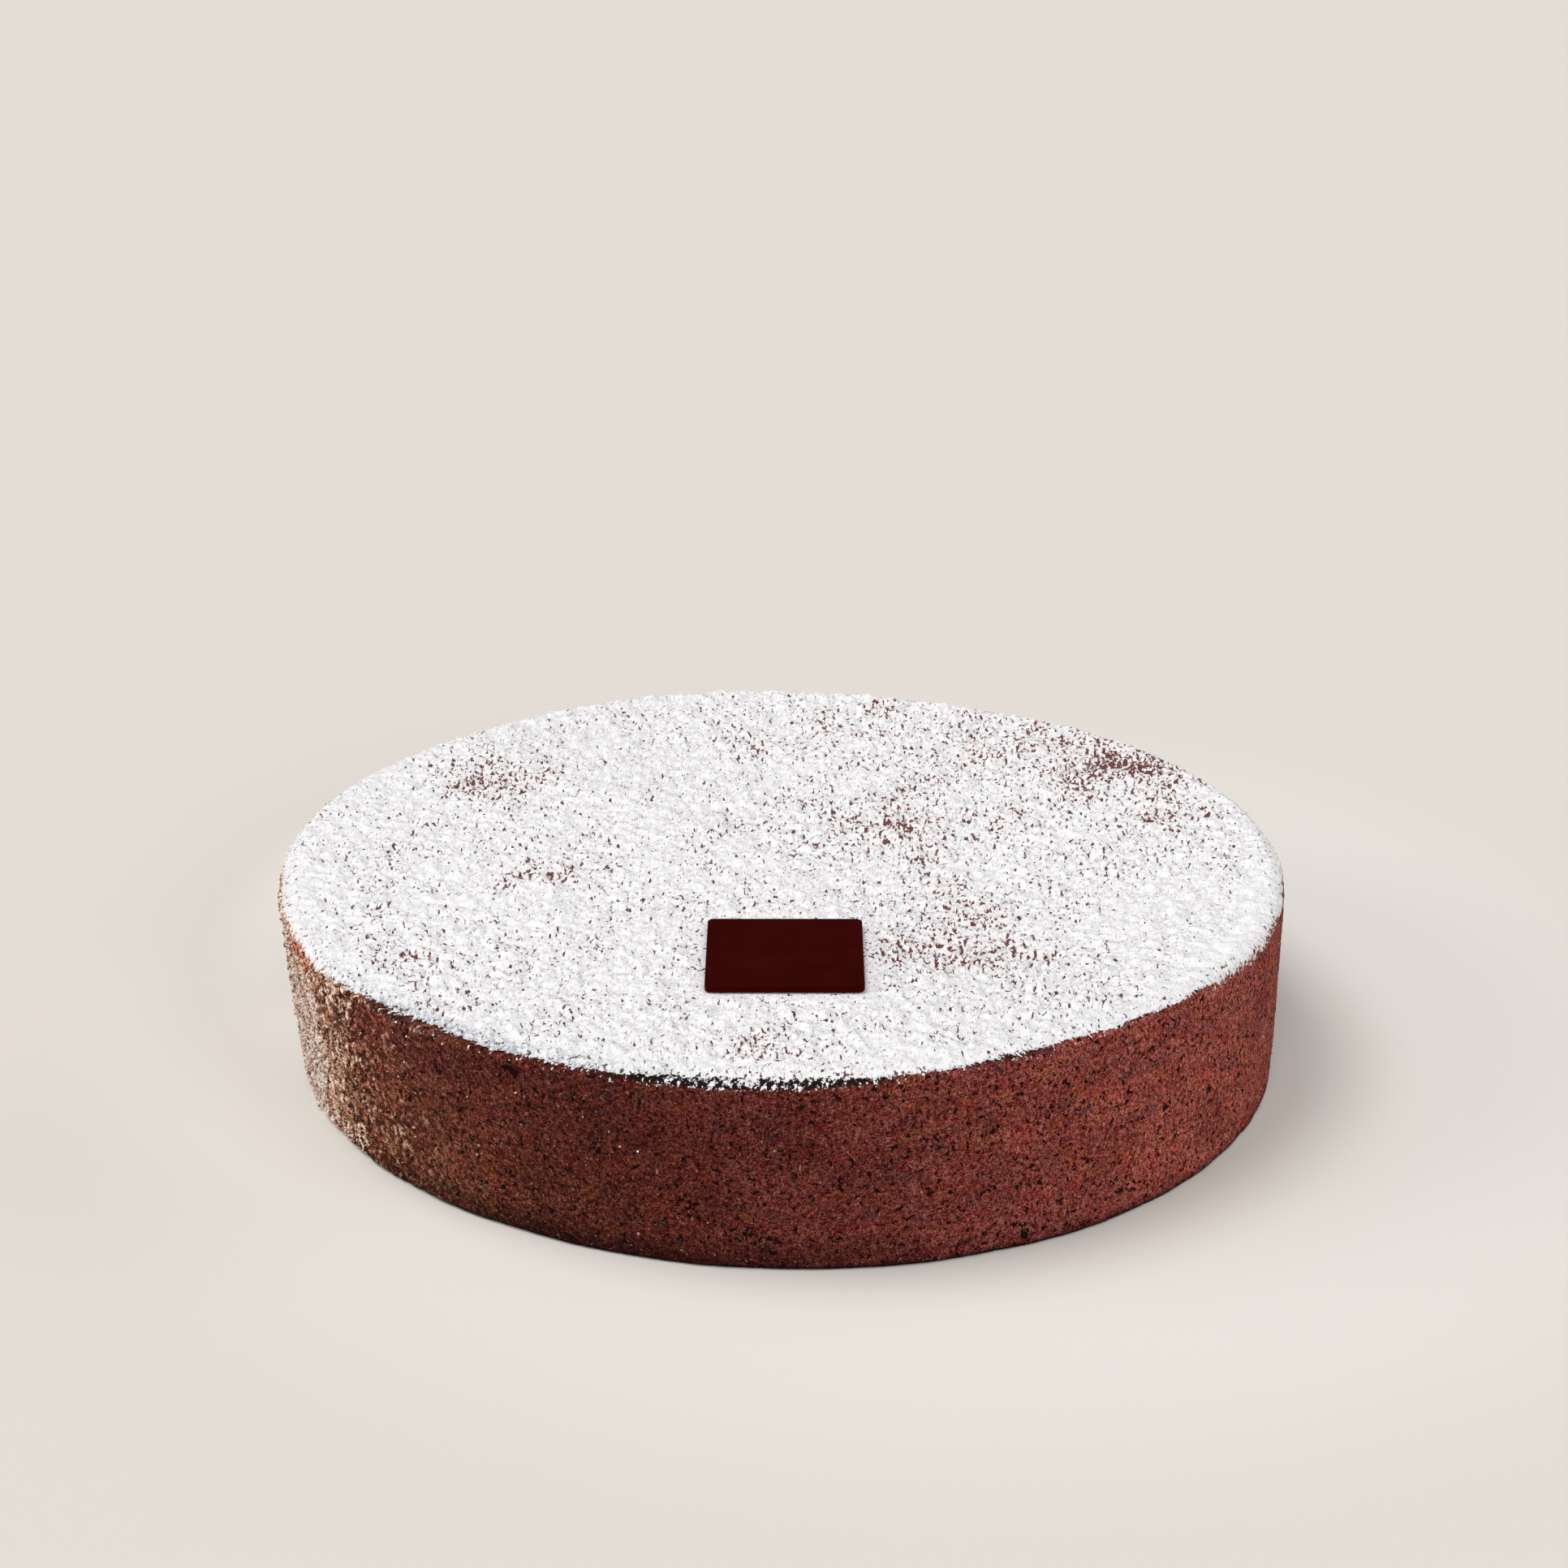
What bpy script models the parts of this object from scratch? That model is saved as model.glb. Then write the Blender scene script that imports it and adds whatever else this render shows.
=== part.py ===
"""Flourless chocolate cake: a low round cake, its icing-sugar top and a thin chocolate plaque on it."""

import math

import bmesh
import bpy
from mathutils import Vector, noise

# Driving dimensions, in metres
RIM_RADIUS = 0.110
BASE_RADIUS = 0.1072
SUGAR_LEVEL = 0.0428
SUGAR_THICKNESS = 0.0007
SEAT_GAP = 0.0003
SHOULDER_RADIUS = 0.0015
FOOT_RADIUS = 0.0010
PLAQUE_WIDTH = 0.0324
PLAQUE_DEPTH = 0.0342
PLAQUE_THICKNESS = 0.0014
PLAQUE_CORNER = 0.0014
PLAQUE_EDGE_BEVEL = 0.0002

# Places, measured on the ground plane from the middle of the whole
RIM_CENTRE = Vector((-0.0006, 0.0002))
BASE_CENTRE = Vector((0.0016, 0.0002))
PLAQUE_CENTRE = Vector((0.0007, -0.0534))

# How the outlines stray from a circle: times round, height of the wave, direction of a crest in degrees
RIM_WAVES = (
    (2, 0.00070, 126),
    (3, 0.00087, 29),
    (4, 0.00024, 20),
    (5, 0.00021, 123),
    (6, 0.00048, -115),
)
BASE_WAVES = (
    (2, 0.00073, -80),
    (3, 0.00066, 141),
    (4, 0.00013, -155),
)

# Unevenness: size of the lumps and how far they stand in or out
CRUMB_LUMPS = ((0.0160, 0.00035), (0.0075, 0.00020))
SUGAR_LUMPS = ((0.0170, 0.00022), (0.0085, 0.00016))
EDGE_LUMPS = ((0.0120, 0.00070),)
SUGAR_EDGE_INSET = 0.0005
SUGAR_EDGE_ROUNDING = 0.0016
BARE_BAND_INSET = 0.0030
BARE_BAND_DIRECTION = -95
BARE_BAND_HALF_WIDTH = 95

# Round the plaque the sugar is pressed flat, and beyond that it rises to its lumps
PLAQUE_MARGIN = 0.0035
PLAQUE_FADE = 0.0050

# Fineness of the meshes
POINTS_ROUND = 192
WALL_ROW_HEIGHT = 0.0042
SUGAR_RING_STEP = 0.0042
CROWDED_SHARE = 0.6
CORNER_STEPS = 5

# Rows of the sugar's rounded edge, from below: shares of the rounding inwards and of the thickness upwards
SUGAR_EDGE_ROWS = ((0.06, 0.0), (0.0, 0.30), (0.35, 0.75))

CRUST_TOP = SUGAR_LEVEL - SUGAR_THICKNESS - SEAT_GAP


def clear_scene():
    for item in list(bpy.data.objects):
        bpy.data.objects.remove(item, do_unlink=True)


def plain_material(name, colour, roughness):
    material = bpy.data.materials.new(name)
    material.use_nodes = True
    shader = material.node_tree.nodes["Principled BSDF"]
    shader.inputs["Base Color"].default_value = (*colour, 1.0)
    shader.inputs["Roughness"].default_value = roughness
    shader.inputs["Metallic"].default_value = 0.0
    return material


def object_from(mesh_builder, name, material, location, parent):
    """Turns a finished bmesh into a named, smooth-shaded object under its parent."""
    mesh = bpy.data.meshes.new(name)
    bmesh.ops.recalc_face_normals(mesh_builder, faces=mesh_builder.faces)
    mesh_builder.to_mesh(mesh)
    mesh_builder.free()
    mesh.materials.append(material)
    mesh.shade_smooth()
    mesh.set_sharp_from_angle(angle=math.radians(40))
    item = bpy.data.objects.new(name, mesh)
    item.location = location
    item.parent = parent
    bpy.context.collection.objects.link(item)
    return item


def lumps(point, layers, seed):
    """Smooth unevenness at a point: layers of noise, each with its own lump size and height."""
    offset = Vector((seed, 2.0 * seed, 3.0 * seed))
    return sum(height * noise.noise(point / size + offset) for size, height in layers)


def smooth_step(value):
    value = min(max(value, 0.0), 1.0)
    return value * value * (3.0 - 2.0 * value)


def wandering_radius(angle, mean, waves):
    """Radius of a nearly round outline in one direction."""
    return mean + sum(
        height * math.cos(times * angle - math.radians(crest)) for times, height, crest in waves
    )


def direction_of(angle):
    return Vector((math.cos(angle), math.sin(angle)))


def side_outline(angle, height):
    """Centre and radius of the side at a height, between the base's outline and the rim's."""
    share = height / CRUST_TOP
    centre = BASE_CENTRE.lerp(RIM_CENTRE, share)
    base = wandering_radius(angle, BASE_RADIUS, BASE_WAVES)
    rim = wandering_radius(angle, RIM_RADIUS, RIM_WAVES)
    return centre, base + (rim - base) * share


def side_profile():
    """Rows of the side from the foot to the shoulder: height, and how far the row is rounded in."""
    rows = []
    for step in range(3):
        turn = math.radians(45 * step)
        height = FOOT_RADIUS * (1.0 - math.cos(turn))
        rows.append((height, FOOT_RADIUS * (1.0 - math.sin(turn))))
    wall_top = CRUST_TOP - SHOULDER_RADIUS
    wall_rows = round((wall_top - FOOT_RADIUS) / WALL_ROW_HEIGHT)
    for row in range(1, wall_rows):
        rows.append((FOOT_RADIUS + (wall_top - FOOT_RADIUS) * row / wall_rows, 0.0))
    for step in range(4):
        turn = math.radians(30 * step)
        height = wall_top + SHOULDER_RADIUS * math.sin(turn)
        rows.append((height, SHOULDER_RADIUS * (1.0 - math.cos(turn))))
    return rows


def ring(mesh_builder, count, point_at):
    """Closed ring of vertices, one for each direction."""
    angles = [2.0 * math.pi * index / count for index in range(count)]
    return [mesh_builder.verts.new(point_at(angle)) for angle in angles]


def bridge(mesh_builder, outer, inner):
    """Faces between two rings, where the inner one has as many points as the outer or half as many."""
    halved = len(outer) == 2 * len(inner)
    for index, here in enumerate(inner):
        after = inner[(index + 1) % len(inner)]
        if halved:
            first = outer[2 * index]
            middle = outer[2 * index + 1]
            last = outer[(2 * index + 2) % len(outer)]
            mesh_builder.faces.new((first, middle, here))
            mesh_builder.faces.new((middle, after, here))
            mesh_builder.faces.new((middle, last, after))
        else:
            first = outer[index]
            last = outer[(index + 1) % len(outer)]
            mesh_builder.faces.new((first, last, after, here))


def crumb_point(angle, height, inset):
    """Point of the crumb's side, with its unevenness."""
    centre, radius = side_outline(angle, height)
    smooth = centre + direction_of(angle) * (radius - inset)
    unevenness = lumps(Vector((*smooth, height)), CRUMB_LUMPS, seed=3.7)
    return Vector((*(smooth + direction_of(angle) * unevenness), height))


def make_cake(parent):
    """Solid cake, flat below and flat where the sugar lies on it."""
    builder = bmesh.new()
    rings = [
        ring(builder, POINTS_ROUND, lambda angle: crumb_point(angle, height, inset))
        for height, inset in side_profile()
    ]
    for lower, upper in zip(rings, rings[1:]):
        bridge(builder, lower, upper)
    builder.faces.new(rings[0])
    builder.faces.new(rings[-1])
    crumb = plain_material("chocolate_crumb", (0.115, 0.026, 0.017), 0.85)
    return object_from(builder, "cake", crumb, (0.0, 0.0, 0.0), parent)


def sugar_edge_radius(angle):
    """Ragged edge of the sugar, which leaves more of the crust bare along the front."""
    rim = wandering_radius(angle, RIM_RADIUS, RIM_WAVES)
    turn = math.degrees(angle) - BARE_BAND_DIRECTION
    away = abs((turn + 180.0) % 360.0 - 180.0)
    bare = BARE_BAND_INSET * smooth_step(1.0 - away / BARE_BAND_HALF_WIDTH)
    spot = Vector((*(direction_of(angle) * rim), 0.0))
    ragged = abs(lumps(spot, EDGE_LUMPS, seed=5.3))
    return rim - SUGAR_EDGE_INSET - bare - ragged


def plaque_share(point):
    """How fully a point of the sugar lies under the plaque: 1 below it, 0 from a few millimetres off."""
    reach_x = abs(point.x - PLAQUE_CENTRE.x) - 0.5 * PLAQUE_WIDTH - PLAQUE_MARGIN
    reach_y = abs(point.y - PLAQUE_CENTRE.y) - 0.5 * PLAQUE_DEPTH - PLAQUE_MARGIN
    away = math.hypot(max(reach_x, 0.0), max(reach_y, 0.0))
    return 1.0 - smooth_step(away / PLAQUE_FADE)


def sugar_point(angle, edge_share):
    """Point of the sugar's lumpy top, at a share of the way from the middle to the edge."""
    flat = RIM_CENTRE + direction_of(angle) * sugar_edge_radius(angle) * edge_share
    unevenness = lumps(Vector((*flat, 0.0)), SUGAR_LUMPS, seed=8.1)
    return Vector((*flat, SUGAR_THICKNESS + unevenness * (1.0 - plaque_share(flat))))


def sugar_edge_point(angle, inset_share, height_share):
    """Point of the sugar's rounded edge, as shares of the rounding and of the thickness."""
    radius = sugar_edge_radius(angle) - inset_share * SUGAR_EDGE_ROUNDING
    return Vector((*(RIM_CENTRE + direction_of(angle) * radius), height_share * SUGAR_THICKNESS))


def graded_rings(radius, count, step):
    """Shrinking rings as shares of the first one's radius, with half the points once they crowd."""
    first = radius
    while radius > step:
        if 2.0 * math.pi * radius / count < CROWDED_SHARE * step and count > 6:
            count //= 2
        yield radius / first, count
        radius -= step


def make_sugar_coat(parent):
    """Layer of icing sugar: flat below, rounded at its ragged edge and lumpy on top."""
    builder = bmesh.new()
    rings = [
        ring(builder, POINTS_ROUND, lambda angle: sugar_edge_point(angle, inset_share, height_share))
        for inset_share, height_share in SUGAR_EDGE_ROWS
    ]
    start = RIM_RADIUS - SUGAR_EDGE_ROUNDING
    for share, count in graded_rings(start, POINTS_ROUND, SUGAR_RING_STEP):
        edge_share = share * start / RIM_RADIUS
        rings.append(ring(builder, count, lambda angle: sugar_point(angle, edge_share)))
    for outer, inner in zip(rings, rings[1:]):
        bridge(builder, outer, inner)
    builder.faces.new(rings[0])
    builder.faces.new(rings[-1])
    sugar = plain_material("icing_sugar", (0.86, 0.86, 0.87), 0.95)
    place = (0.0, 0.0, CRUST_TOP + SEAT_GAP)
    return object_from(builder, "sugar_coat", sugar, place, parent)


def rounded_rectangle(width, depth, corner):
    """Points round a rectangle with rounded corners, anticlockwise."""
    points = []
    for quarter, (side_x, side_y) in enumerate(((1, 1), (-1, 1), (-1, -1), (1, -1))):
        centre = Vector((side_x * (0.5 * width - corner), side_y * (0.5 * depth - corner)))
        for step in range(CORNER_STEPS + 1):
            angle = math.radians(90.0 * (quarter + step / CORNER_STEPS))
            points.append(centre + direction_of(angle) * corner)
    return points


def make_plaque(parent):
    """Thin chocolate plaque lying on the sugar, with rounded corners and softened edges."""
    builder = bmesh.new()
    outline = rounded_rectangle(PLAQUE_WIDTH, PLAQUE_DEPTH, PLAQUE_CORNER)
    base = builder.faces.new([builder.verts.new((*point, 0.0)) for point in outline])
    raised = bmesh.ops.extrude_face_region(builder, geom=[base])["geom"]
    corners = [item for item in raised if isinstance(item, bmesh.types.BMVert)]
    bmesh.ops.translate(builder, verts=corners, vec=(0.0, 0.0, PLAQUE_THICKNESS))
    chocolate = plain_material("plaque_chocolate", (0.038, 0.0035, 0.002), 0.4)
    place = (*PLAQUE_CENTRE, SUGAR_LEVEL + SEAT_GAP)
    plaque = object_from(builder, "plaque", chocolate, place, parent)
    bevel = plaque.modifiers.new("softened_edges", "BEVEL")
    bevel.width = PLAQUE_EDGE_BEVEL
    bevel.segments = 2
    bevel.limit_method = "ANGLE"
    bevel.angle_limit = math.radians(60)
    return plaque


def main():
    clear_scene()
    whole = bpy.data.objects.new("flourless_cake", None)
    bpy.context.collection.objects.link(whole)
    make_cake(whole)
    make_sugar_coat(whole)
    make_plaque(whole)


main()
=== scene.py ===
"""Looks of the flourless chocolate cake: crumb, bare crust, icing sugar, loose grains, plaque and studio."""

import math

import bmesh
import bpy
import numpy as np
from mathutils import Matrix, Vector, noise


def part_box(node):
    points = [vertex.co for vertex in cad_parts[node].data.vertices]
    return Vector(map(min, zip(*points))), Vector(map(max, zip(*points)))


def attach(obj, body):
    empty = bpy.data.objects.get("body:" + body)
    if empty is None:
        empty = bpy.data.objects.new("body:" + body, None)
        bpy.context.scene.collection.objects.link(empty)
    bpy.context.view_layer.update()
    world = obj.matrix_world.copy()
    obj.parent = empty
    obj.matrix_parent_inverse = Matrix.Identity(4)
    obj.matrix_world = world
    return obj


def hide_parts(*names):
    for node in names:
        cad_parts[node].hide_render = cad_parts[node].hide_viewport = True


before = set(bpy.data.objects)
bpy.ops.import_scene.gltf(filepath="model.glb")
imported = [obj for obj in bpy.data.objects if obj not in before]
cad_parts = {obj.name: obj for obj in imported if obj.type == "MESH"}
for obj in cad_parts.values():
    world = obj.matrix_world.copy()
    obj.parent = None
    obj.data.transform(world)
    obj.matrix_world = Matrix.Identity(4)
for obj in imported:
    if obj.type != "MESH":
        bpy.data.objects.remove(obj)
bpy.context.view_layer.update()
MM = 0.001

# Main sizes, from the frame
CRUST_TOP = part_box("cake")[1].z
PLAQUE_LOW, PLAQUE_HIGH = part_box("plaque")
PLAQUE_MIDDLE = (PLAQUE_LOW + PLAQUE_HIGH) / 2

# The outline, as the solid has it: times round, height of the wave, direction of a crest in degrees
RIM_RADIUS = 110.0 * MM
BASE_RADIUS = 107.2 * MM
SHOULDER_RADIUS = 1.5 * MM
FOOT_RADIUS = 1.0 * MM
RIM_CENTRE = np.array((-0.6, 0.2)) * MM
BASE_CENTRE = np.array((1.6, 0.2)) * MM
RIM_WAVES = (
    (2, 0.70 * MM, 126), (3, 0.87 * MM, 29), (4, 0.24 * MM, 20), (5, 0.21 * MM, 123), (6, 0.48 * MM, -115),
)
BASE_WAVES = ((2, 0.73 * MM, -80), (3, 0.66 * MM, 141), (4, 0.13 * MM, -155))

# Low lumps, as the solids have them: size across and height of each layer of noise
CRUMB_LUMPS = ((16.0 * MM, 0.35 * MM), (7.5 * MM, 0.20 * MM))
CRUMB_SEED = 3.7
SUGAR_LUMPS = ((17.0 * MM, 0.22 * MM), (8.5 * MM, 0.16 * MM))
SUGAR_SEED = 8.1

# The sugar's level, its least thickness, and how far its closed edge reaches down into the crust
SUGAR_LEVEL = 42.8 * MM
SUGAR_LEAST = 0.05 * MM
SUGAR_TUCK = 0.5 * MM
# The sugar's ragged edge: its lumps, how far inside the rim it lies, on average and at least
EDGE_LUMPS = ((12.0 * MM, 0.8 * MM), (4.0 * MM, 0.45 * MM), (1.8 * MM, 0.15 * MM))
EDGE_SEED = 5.3
SUGAR_EDGE_INSET = 0.2 * MM
LEAST_EDGE_INSET = 0.1 * MM
# How far in from its edge the layer reaches its full thickness, and what share of the relief the edge has
EDGE_TAPER = 2.8 * MM
EDGE_FREEDOM = 0.1
# The relief is lower near the edge: what share of it is left there, and how far in it grows to all
CALM_SHARE = 0.5
CALM_REACH = 8.0 * MM
# How thin the sugar is at its edge, over pale crust and over dark
EDGE_THINNESS = (0.15, 0.60)
# The thicker, cleaner band inside the edge: its middle and half width from the edge, how much it adds,
# and what share of that is lost over dark crust
RIM_DRIFT = (5.0 * MM, 5.5 * MM, 0.26, 0.6)
# The sugar lies flat under the plaque: how far past it, and over what distance the lumps come back
PLAQUE_MARGIN = 1.5 * MM
PLAQUE_FADE = 3.0 * MM

# From here on, a place round the cake is a direction and a half width in degrees.
# Where the crust shows round the sugar, and how far the sugar draws back
BARE_BANDS = (
    (-92, 66, 2.4 * MM),
    (-132, 16, 2.8 * MM),
    (-92, 20, 0.9 * MM),
    (-62, 12, 1.1 * MM),
    (70, 40, 0.6 * MM),
)
# Where that crust is baked dark, and how strongly; and how dark it is elsewhere
DARK_BANDS = ((-93, 26, 0.88), (-136, 10, 0.44), (-122, 16, 0.14), (-63, 11, 0.38), (60, 60, 0.55))
PALE_CRUST = 0.12
# How far down over the shoulder dark crust and the sugar on it reach, and what share of that fades
CRUST_FALL = 0.9 * MM
CRUST_BAND = 1.7 * MM
BORDER_SHARE = 0.6
# The crust is darkest right beside the sugar, partly dark crust and partly painted shade under the sugar's
# edge: how wide that line is and how strong
CRUST_SHADE_LINE = (1.1 * MM, 0.74)
# How far out from its edge the sugar still scatters, how much it covers right at the edge, and at most
VEIL_REACH = 2.0 * MM
VEIL_AT_EDGE = 0.54
MOST_COVER = 2.0
# Sugar scattered on the crust: everywhere, and how much more on dark crust and on the dusty side
CRUST_POWDER = (0.17, 0.27, 0.15)
# Where the sugar also covers the rounded shoulder, and how much more
FULL_SHOULDERS = ((10, 32, 0.50), (-179, 24, 0.85))
# Where the layer is smoothest and whitest, a little inside its edge, and how strongly
EVEN_RIM = (-32, 48)
EVEN_SHARE = 0.65
# Where sugar lies on the shoulder and the side below the edge, how much, and how far down
POWDERED_SHOULDER = (-26, 25)
POWDER_AMOUNT = 0.62
POWDER_FALL = 5.5 * MM
# Where the sugar's lip is painted grey, partly painted shade on its rounded edge and partly sugar thinning
# out slowly, and how far in it starts
SHADED_LIP = (-124, 34)
SHADED_LIP_REACH = 4.6 * MM

# Where sugar dust clings to the side, at its borders and at the foot
DUSTY_SIDE = (-170, 31)
DUSTY_EDGES = ((-146, 32), (160, 40))
DUSTY_FOOT = (-166, 28)
# Its amount: everywhere, on the dusty side, more low down there, at the borders, at the foot, at most,
# and how steeply it falls off
LEAST_DUST = 0.04
SIDE_DUST = 0.93
LOW_DUST = 0.62
EDGE_DUST = 0.11
FOOT_DUST = 0.05
MOST_DUST = 1.2
DUST_FALLOFF = 1.3
# Up to what share of the height the side counts as low, and over what share more that fades
LOW_END = 0.15
LOW_FADE = 0.7
# The dusty side's border wanders: size of the bends and degrees they reach
DUST_BENDS = ((19.0 * MM, 13.0), (7.0 * MM, 7.0))
DUST_SEED = 3.4
# A rust-red spot below the rim: its depth, and what share of dust and of the lighter orange tone, partly
# painted light, it takes away
RUST_SPOT = (-159, 14)
RUST_DEPTH = 12.0 * MM
RUST_CLEARS_DUST = 0.75
RUST_CLEARS_LIT_ORANGE = 0.8
# Painted light round the side: where the crumb is painted palest, and bands where it is painted paler or
# darker, lighter orange (partly painted light) or browner, with their strength; the brown band has a strength
# all the way up and one that it gains low down
LIT_DIRECTION = -15
LIT_STRENGTH = 1.05
PAINTED_LIGHT_BAND = (-150, 40, 0.40)
SHADED_BAND = (-98, 50, -0.10)
LIT_ORANGE_SIDE = (-168, 30)
BROWN_BAND = (-146, 58)
BROWN_STRENGTH = (0.45, 0.55)
# Darker crumb near the foot, partly painted shade: where it reaches highest and how high, then all round,
# then the spot where it is darkest, and last the painted contact shadow, near black, on which the cake stands
FOOT_SHADE = (-112, 64)
FOOT_SHADE_HEIGHT = 9.0 * MM
LOW_SHADE_HEIGHT = 3.5 * MM
LOW_SHADE_STRENGTH = 0.7
DARKEST_FOOT_SPOT = (-58, 6)
DARKEST_FOOT_HEIGHT = 6.0 * MM
DARKEST_FOOT_STRENGTH = 0.95
CONTACT_SHADOW_HEIGHT = 1.5 * MM
CONTACT_SHADOW_STRENGTH = 2.0

# Where the sugar lies thin and the crumb shows through, or thick where negative: place, reach and strength
THIN_PATCHES = (
    (84, 59, 16, 0.98),
    (62, 78, 14, 0.32),
    (70, 41, 8, 0.40),
    (86, 24, 12, 0.30),
    (28, 19, 20, 0.44),
    (38, -27, 16, 0.28),
    (46, 62, 10, 0.32),
    (20, 86, 14, 0.25),
    (-9, 65, 8, 0.30),
    (-66, 48, 13, 0.66),
    (-74, 64, 8, 0.20),
    (-50, -8, 8, 0.45),
    (33, -49, 17, 0.48),
    (52, -38, 12, 0.22),
    (58, -73, 10, 0.32),
    (-78, -52, 11, 0.36),
    (-64, -76, 9, 0.25),
    (0, -95, 9, 0.34),
    (-30, 52, 24, -0.30),
    (88, -34, 28, -0.36),
    (-100, 0, 12, -0.20),
    (-34, -72, 22, -0.03),
)
THIN_LUMPS = ((14.0 * MM, 0.32), (6.0 * MM, 0.42))
THIN_SEED = 2.6
# Thinner towards the back right: least thinness, how much more there, where that starts, how far it grows
THIN_SLOPE = (0.10, 0.10, -60.0 * MM, 160.0 * MM)

# Fineness of the meshes; the side's columns lie closer together where the crumb is roughest
SIDE_COLUMNS = 1150
SIDE_ROW = 0.62 * MM
CRUST_ROWS = 7
CRUST_ROW = 0.8 * MM
FOOT_TURNS = 4
SHOULDER_TURNS = 6
ROUGH_SIDE = (-160, 75)
EXTRA_COLUMNS = 0.9
SUGAR_CELLS = 300
# The row that closes in the flat base, as a share of the foot's outline, and how much calmer the crust is
BASE_SHARE = 0.92
CRUST_CALM = 0.7

# Relief of the crumb: its clods' size, stretch and height, the depth of its pores, and over what dust
# it grows from how smooth to how rough
CLOD_SIZE = 1.5 * MM
CLOD_STRETCH = (1.0, 1.0, 0.80)
CLOD_HEIGHT = 1.8 * MM
PORE_DEPTH = 0.45 * MM
ROUGHNESS_BY_DUST = (0.05, 0.22, 0.35, 1.45)
# Pores: size, noise level where they begin and where they are deepest; their clusters: size and strength
SMALL_PORES = (1.15 * MM, 0.408, 0.372)
LARGE_PORES = (2.4 * MM, 0.490, 0.450)
PORE_CLUSTERS = (10.0 * MM, 0.35)
# Relief of the sugar: soft lumps and small ones as size and share, their height, and the depth of the pits
SOFT_LUMPS = (3.4 * MM, 0.6)
SMALL_LUMPS = (1.7 * MM, 0.4)
LUMP_HEIGHT = 4.6 * MM
PIT_DEPTH = 0.45 * MM
# Pits in the sugar: size, stretch, how much thinness adds, level where they begin and where they are full
PIT_SIZE = 1.08 * MM
PIT_STRETCH = (1.0, 0.8, 1.0)
PIT_BY_THINNESS = 0.21
PIT_LEVELS = (0.657, 0.702)

# Colours of the crumb
# Shaded and lit copies of the crumb's colour, mixed by direction as painted light and shade
SHADED_CRUMB = (0.0785, 0.0114, 0.0080)
LIT_CRUMB = (0.272, 0.0470, 0.0320)
BROWN_TINT = (1.12, 1.62, 1.12)
# Lighter orange crumb on the far left side, partly painted light
LIT_ORANGE_CRUMB = (0.58, 0.22, 0.125)
RUST_RED = (0.46, 0.085, 0.030)
# Painted shade near the foot, and the near-black painted contact shadow under it
FOOT_SHADE_TINT = (0.30, 0.26, 0.30)
CONTACT_SHADOW = (0.004, 0.002, 0.002)
FLECK = (0.40, 0.230, 0.165)
# Painted shade inside the pores, paler on the lighter orange side
PORE_SHADE = (0.008, 0.003, 0.002)
LIT_ORANGE_PORE_SHADE = (0.030, 0.009, 0.006)
# Tints of its grain, in hollows and on crests: mottles, coarse grains, sand, and grit in the brown band
MOTTLE_TINTS = ((0.84, 0.80, 0.83), (1.15, 1.18, 1.15))
COARSE_TINTS = ((0.68, 0.44, 0.40), (1.30, 1.58, 1.66))
SAND_TINTS = ((0.38, 0.09, 0.07), (1.78, 2.95, 3.40))
GRIT_TINTS = ((0.66, 0.62, 0.62), (1.34, 1.38, 1.38))
# Patches that are more orange, redder, or dull and dark: offset of their noise, size, level, tint
HUE_PATCHES = (
    ((0.31, 0.17, 0.05), 6.0 * MM, 0.52, (1.08, 1.13, 0.88)),
    ((0.07, 0.29, 0.11), 6.5 * MM, 0.53, (1.07, 0.86, 0.88)),
    ((0.19, 0.03, 0.37), 4.6 * MM, 0.56, (0.68, 0.86, 1.02)),
)
HUE_BORDER = 0.12
# Colours of the rough crumb, the baked crust and the dust on the side
# Painted highlight on the tops of clods, and painted shade in the gaps between them
CLOD_HIGHLIGHT_TINT = (1.45, 1.60, 1.60)
CLOD_GAP_SHADE = (0.014, 0.004, 0.003)
# Near-black baked crust, also painted as the shade beside the sugar
BAKED_CRUST_AND_SHADE = (0.011, 0.006, 0.006)
TAN_DUST = (0.76, 0.44, 0.285)
CREAM_DUST = ((0.88, 0.73, 0.61), (0.98, 0.93, 0.86))
# Low parts between dusted clods: bare crumb and painted shade
HOLE_CRUMB_AND_SHADE = (0.055, 0.017, 0.010)
RIM_POWDER = (0.82, 0.81, 0.815)

# Colours of the sugar: in hollows, greyer partly as painted shade, and on crests, faint specks, the even rim,
# over crumb, and the tint of the lip's painted shade
SUGAR_WHITES = ((0.775, 0.748, 0.756), (0.94, 0.91, 0.916))
FAINT_SPECK = (0.31, 0.255, 0.26)
EVEN_WHITE = (0.91, 0.885, 0.895)
BLUSH_WHITE = (0.90, 0.855, 0.85)
LIP_SHADE_TINT = (0.56, 0.61, 0.65)
# Specks where the sugar is thick and where it is thin, and the crust at its edge, pale and baked
SPECKS = ((0.040, 0.019, 0.020), (0.118, 0.009, 0.006))
EDGE_CRUSTS = ((0.200, 0.060, 0.040), (0.012, 0.007, 0.008))

# Grain of both surfaces: fine powder, sand, and the veil of scattered sugar with its strength and levels
POWDER_SIZE = 1.0 * MM
SAND_SIZE = 0.40 * MM
VEIL_SIZE = 0.90 * MM
VEIL_STRENGTH = 0.60
VEIL_LEVELS = (0.775, 0.825)
# How uneven the side's dust lies: shares of powder and clods, and what patches and the dust itself add
UNEVEN_BY = (0.35, 0.65, 0.40, 0.19)

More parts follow.
